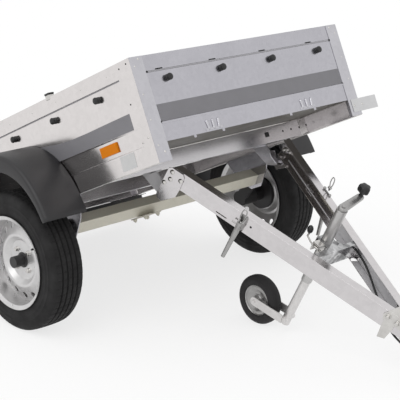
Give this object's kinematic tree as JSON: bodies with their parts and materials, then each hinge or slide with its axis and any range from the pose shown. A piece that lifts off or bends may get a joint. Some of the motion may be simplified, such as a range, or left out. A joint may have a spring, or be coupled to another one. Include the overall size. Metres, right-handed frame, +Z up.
{
  "type": "utility trailer",
  "caption": "Single-axle tipping utility trailer with an open sheet-steel load box, V drawbar on a tipping hinge, jockey wheel and plastic mudguards, standing with its box tipped.",
  "frame": {"origin": "on the floor under the middle of the whole trailer's bounding box", "axes": "+X forward to the coupling, +Y to the trailer's left, +Z up"},
  "size_m": [2.382, 1.47, 1.0833],
  "materials": {
    "galvanised_sheet": "satin",
    "galvanised_steel": "satin",
    "zinc_plate": "satin",
    "rim_silver": "satin",
    "black_steel": "satin",
    "black_plastic": "matte",
    "tyre_rubber": "matte",
    "amber_plastic": "gloss",
    "red_plastic": "gloss",
    "white_plastic": "gloss"
  },
  "bodies": {
    "box": {"floor_sheet": "galvanised_steel", "side_right": "galvanised_sheet", "side_left": "galvanised_sheet", "front_wall": "galvanised_sheet", "corner_posts": "galvanised_sheet", "cross_members": "galvanised_steel", "tip_brackets": "galvanised_steel", "axle_tube": "galvanised_steel", "axle_brackets": "galvanised_steel", "swing_arms": "black_steel", "mudguard_right": "black_plastic", "mudguard_left": "black_plastic", "lamp_bar": "black_steel", "rear_lamps": "red_plastic", "side_reflectors": "amber_plastic", "net_knobs": "black_plastic", "front_marker": "white_plastic", "latch_catches": "galvanised_steel"},
    "tailgate": {"tailgate": "galvanised_sheet", "gate_latches": "zinc_plate"},
    "drawbar": {"beam_right": "galvanised_steel", "beam_left": "galvanised_steel", "pivot_plates": "galvanised_steel", "cross_channel": "galvanised_steel", "latch_brackets": "galvanised_steel", "latch_levers": "galvanised_steel", "latch_loops": "galvanised_steel", "coupling_head": "zinc_plate", "coupling_handle": "zinc_plate", "jockey_sleeve": "zinc_plate", "jockey_clamp": "zinc_plate", "jockey_crank": "zinc_plate", "hand_grips": "black_plastic", "supply_cable": "black_plastic", "plug": "black_plastic"},
    "jockey_leg": {"jockey_inner_tube": "zinc_plate"},
    "jockey_fork": {"jockey_fork": "zinc_plate"},
    "jockey_wheel": {"jockey_tyre": "tyre_rubber", "jockey_rim": "black_plastic"},
    "wheel_right": {"tyre_right": "tyre_rubber", "rim_right": "rim_silver", "hub_right": "rim_silver"},
    "wheel_left": {"tyre_left": "tyre_rubber", "rim_left": "rim_silver", "hub_left": "rim_silver"}
  },
  "joints": [
    {"name": "drawbar_tip", "type": "hinge", "parent": "box", "child": "drawbar", "pos_m": [0.13595, 0, 0.54951], "axis": [0, -1, 0], "range_deg": [0, 51.8]},
    {"name": "tailgate_hinge", "type": "hinge", "parent": "box", "child": "tailgate", "pos_m": [-1.06258, 0, 0.1924], "axis": [0, -1, 0], "range_deg": [0, 90]},
    {"name": "wheel_right_spin", "type": "hinge", "parent": "box", "child": "wheel_right", "pos_m": [-0.26273, -0.648, 0.2665], "axis": [0, 1, 0], "continuous": true},
    {"name": "wheel_left_spin", "type": "hinge", "parent": "box", "child": "wheel_left", "pos_m": [-0.26273, 0.648, 0.2665], "axis": [0, 1, 0], "continuous": true},
    {"name": "jockey_height", "type": "slide", "parent": "drawbar", "child": "jockey_leg", "axis": [0.4601, 0, 0.8879], "range_m": [0, 0.17]},
    {"name": "jockey_swivel", "type": "hinge", "parent": "jockey_leg", "child": "jockey_fork", "pos_m": [0.61096, 0, 0.30334], "axis": [0.4601, 0, 0.8879], "continuous": true},
    {"name": "jockey_wheel_spin", "type": "hinge", "parent": "jockey_fork", "child": "jockey_wheel", "pos_m": [0.34408, 0, 0.097], "axis": [0, 1, 0], "continuous": true}
  ]
}
